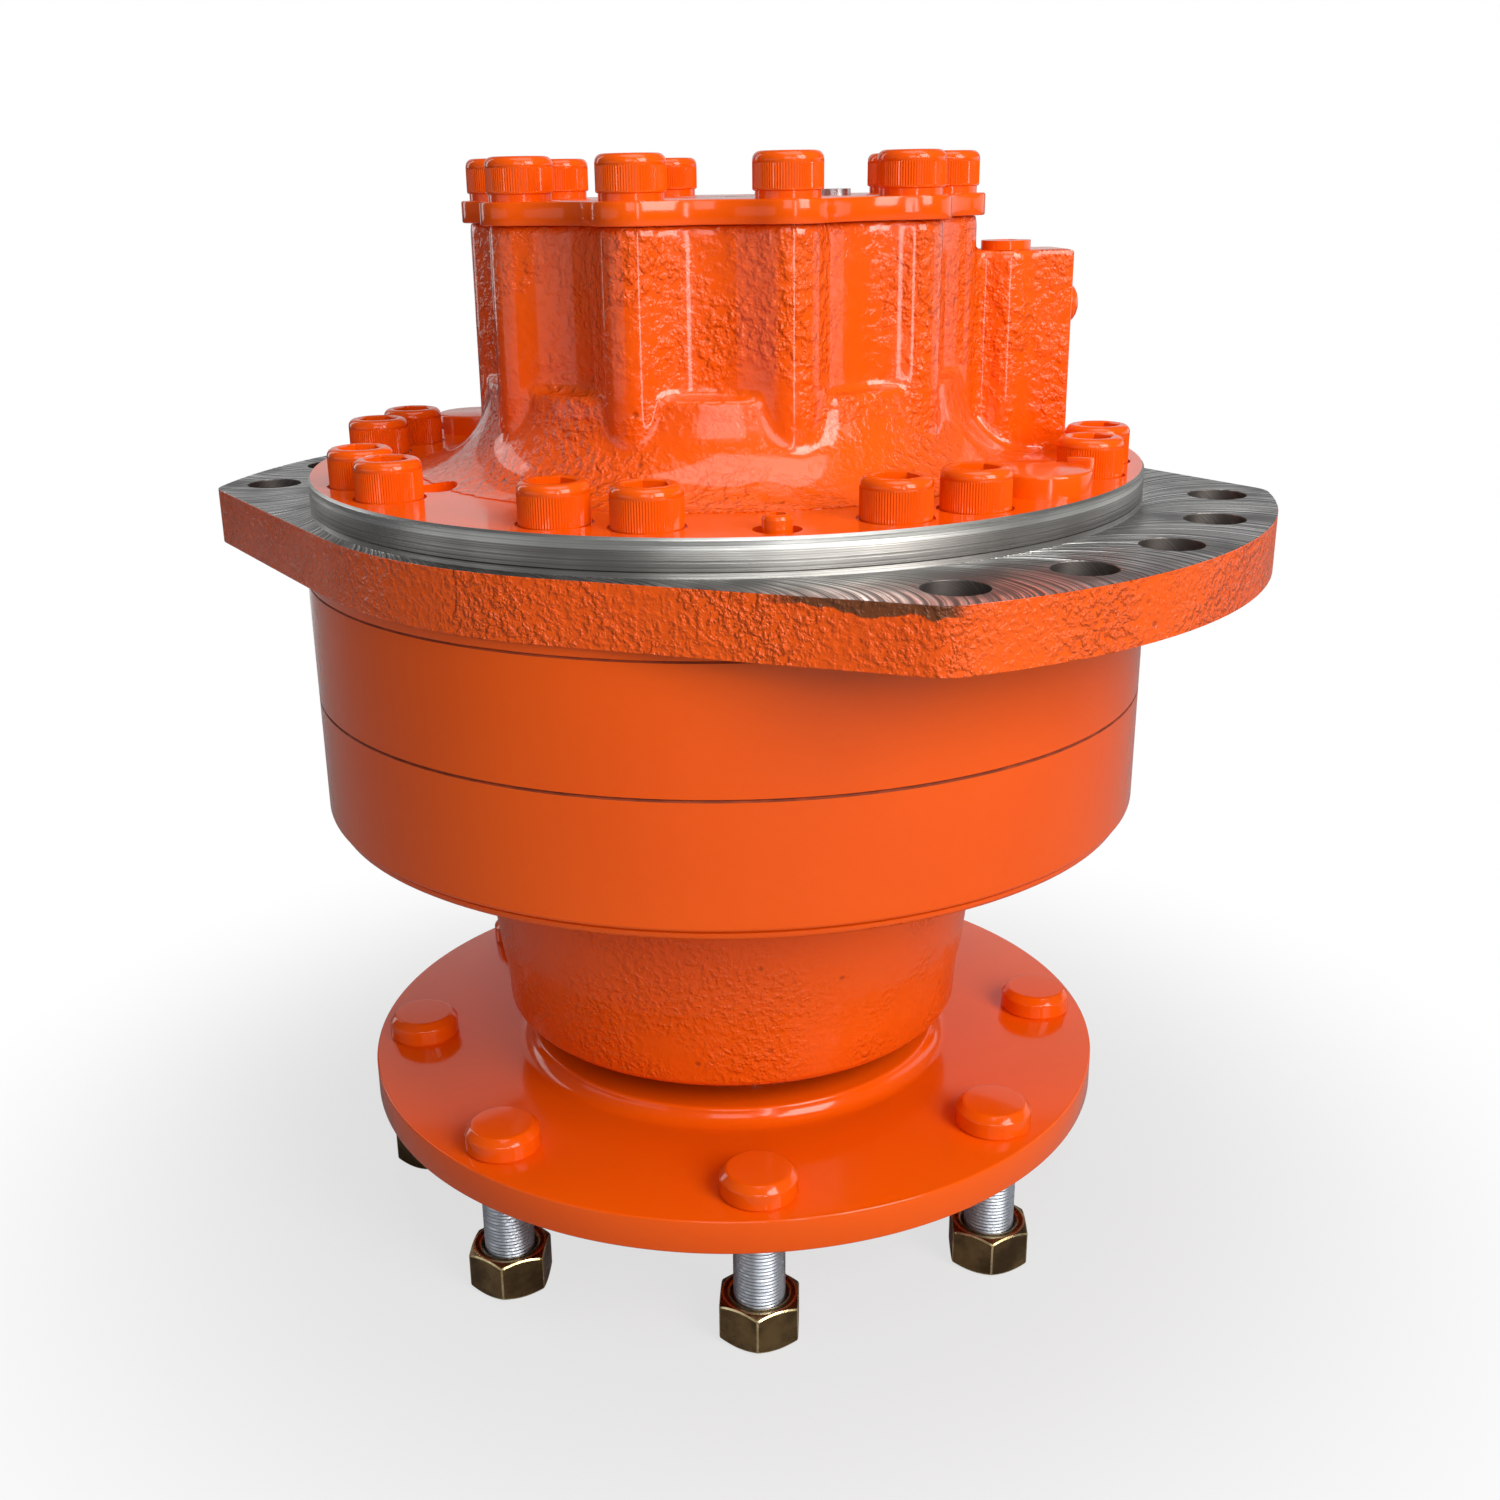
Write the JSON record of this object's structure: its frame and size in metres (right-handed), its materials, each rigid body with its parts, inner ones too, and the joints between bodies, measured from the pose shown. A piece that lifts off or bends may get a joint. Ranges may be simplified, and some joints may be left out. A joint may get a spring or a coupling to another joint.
{
  "type": "hydraulic wheel motor",
  "caption": "Radial-piston hydraulic wheel motor with a lugged chassis flange, a wheel flange with studs and nuts, and a disc brake in a ribbed tower.",
  "frame": {"origin": "centre of the face that the wheel sits on", "axes": "+Z along the motor axis from the wheel face to the brake, +X through the middle of one lug of the chassis flange"},
  "size_m": [0.4238, 0.3358, 0.4275],
  "materials": {
    "orange_paint": "glossy paint over rough cast iron, bare turned steel on the flange's top and on the ring",
    "steel": "turned",
    "bearing_steel": "ground, hardened",
    "zinc_steel": "zinc plated",
    "dark_zinc": "dark yellow zinc",
    "rubber": "matt",
    "friction_lining": "sintered lining"
  },
  "bodies": {
    "motor_case": {"bearing_housing": "orange_paint", "shaft_seal": "rubber", "shaft_seal_spring": "steel", "front_bearing_cup": "bearing_steel", "rear_bearing_cup": "bearing_steel", "cam_ring": "orange_paint", "chassis_flange": "orange_paint", "cover": "orange_paint", "cover_screws": "orange_paint", "cover_small_screw": "orange_paint", "case_o_rings": "rubber", "distributor": "bearing_steel", "distributor_rings": "rubber", "distributor_springs": "steel", "brake_outer_discs": "bearing_steel", "brake_springs": "bearing_steel", "top_plate": "orange_paint", "top_screws": "orange_paint", "release_plug": "steel", "plate_plug": "steel", "drain_plug": "orange_paint", "passage_plug": "orange_paint"},
    "wheel_rotor": {"wheel_shaft": "orange_paint", "wheel_studs": "zinc_steel", "wheel_nuts": "dark_zinc", "front_bearing_cone": "bearing_steel", "rear_bearing_cone": "bearing_steel", "bearing_nut": "bearing_steel", "cylinder_block": "steel", "brake_shaft": "steel", "brake_inner_discs": "friction_lining"},
    "front_roller_set": {"front_bearing_rollers": "steel"},
    "rear_roller_set": {"rear_bearing_rollers": "steel"},
    "brake_plunger": {"brake_piston": "steel", "brake_piston_rings": "rubber"},
    "plunger_1": {"piston_1": "bearing_steel"},
    "follower_1": {"cam_roller_1": "steel"},
    "plunger_2": {"piston_2": "bearing_steel"},
    "follower_2": {"cam_roller_2": "steel"},
    "plunger_3": {"piston_3": "bearing_steel"},
    "follower_3": {"cam_roller_3": "steel"},
    "plunger_4": {"piston_4": "bearing_steel"},
    "follower_4": {"cam_roller_4": "steel"},
    "plunger_5": {"piston_5": "bearing_steel"},
    "follower_5": {"cam_roller_5": "steel"},
    "plunger_6": {"piston_6": "bearing_steel"},
    "follower_6": {"cam_roller_6": "steel"},
    "plunger_7": {"piston_7": "bearing_steel"},
    "follower_7": {"cam_roller_7": "steel"},
    "plunger_8": {"piston_8": "bearing_steel"},
    "follower_8": {"cam_roller_8": "steel"}
  },
  "joints": [
    {"name": "wheel_turn", "type": "hinge", "parent": "motor_case", "child": "wheel_rotor", "pos_m": [0, 0, 0], "axis": [0, 0, 1], "continuous": true},
    {"name": "front_roller_orbit", "type": "hinge", "parent": "motor_case", "child": "front_roller_set", "pos_m": [0, 0, 0.0665], "axis": [0, 0, 1], "continuous": true},
    {"name": "rear_roller_orbit", "type": "hinge", "parent": "motor_case", "child": "rear_roller_set", "pos_m": [0, 0, 0.114], "axis": [0, 0, 1], "continuous": true},
    {"name": "brake_release", "type": "slide", "parent": "motor_case", "child": "brake_plunger", "axis": [0, 0, 1], "range_m": [0, 0.0025], "deforming": ["brake_springs"]},
    {"name": "piston_1_stroke", "type": "slide", "parent": "wheel_rotor", "child": "plunger_1", "axis": [1, 0, 0], "range_m": [0, 0.0129]},
    {"name": "cam_roller_1_spin", "type": "hinge", "parent": "plunger_1", "child": "follower_1", "pos_m": [0.102, 0, 0.2035], "axis": [0, 0, 1], "continuous": true},
    {"name": "piston_2_stroke", "type": "slide", "parent": "wheel_rotor", "child": "plunger_2", "axis": [0.7071, 0.7071, 0], "range_m": [0, 0.00625]},
    {"name": "cam_roller_2_spin", "type": "hinge", "parent": "plunger_2", "child": "follower_2", "pos_m": [0.07212, 0.07212, 0.2035], "axis": [0, 0, 1], "continuous": true},
    {"name": "piston_3_stroke", "type": "slide", "parent": "wheel_rotor", "child": "plunger_3", "axis": [0, 1, 0], "range_m": [0, 0.0009]},
    {"name": "cam_roller_3_spin", "type": "hinge", "parent": "plunger_3", "child": "follower_3", "pos_m": [0, 0.102, 0.2035], "axis": [0, 0, 1], "continuous": true},
    {"name": "piston_4_stroke", "type": "slide", "parent": "wheel_rotor", "child": "plunger_4", "axis": [-0.7071, 0.7071, 0], "range_m": [0, 0.00625]},
    {"name": "cam_roller_4_spin", "type": "hinge", "parent": "plunger_4", "child": "follower_4", "pos_m": [-0.07212, 0.07212, 0.2035], "axis": [0, 0, 1], "continuous": true},
    {"name": "piston_5_stroke", "type": "slide", "parent": "wheel_rotor", "child": "plunger_5", "axis": [-1, 0, 0], "range_m": [0, 0.0129]},
    {"name": "cam_roller_5_spin", "type": "hinge", "parent": "plunger_5", "child": "follower_5", "pos_m": [-0.102, 0, 0.2035], "axis": [0, 0, 1], "continuous": true},
    {"name": "piston_6_stroke", "type": "slide", "parent": "wheel_rotor", "child": "plunger_6", "axis": [-0.7071, -0.7071, 0], "range_m": [0, 0.00625]},
    {"name": "cam_roller_6_spin", "type": "hinge", "parent": "plunger_6", "child": "follower_6", "pos_m": [-0.07212, -0.07212, 0.2035], "axis": [0, 0, 1], "continuous": true},
    {"name": "piston_7_stroke", "type": "slide", "parent": "wheel_rotor", "child": "plunger_7", "axis": [0, -1, 0], "range_m": [0, 0.0009]},
    {"name": "cam_roller_7_spin", "type": "hinge", "parent": "plunger_7", "child": "follower_7", "pos_m": [0, -0.102, 0.2035], "axis": [0, 0, 1], "continuous": true},
    {"name": "piston_8_stroke", "type": "slide", "parent": "wheel_rotor", "child": "plunger_8", "axis": [0.7071, -0.7071, 0], "range_m": [0, 0.00625]},
    {"name": "cam_roller_8_spin", "type": "hinge", "parent": "plunger_8", "child": "follower_8", "pos_m": [0.07212, -0.07212, 0.2035], "axis": [0, 0, 1], "continuous": true}
  ],
  "couplings": [
    {"joint": "front_roller_orbit", "follows": "wheel_turn", "ratio": 0.4546},
    {"joint": "rear_roller_orbit", "follows": "wheel_turn", "ratio": 0.4545}
  ]
}
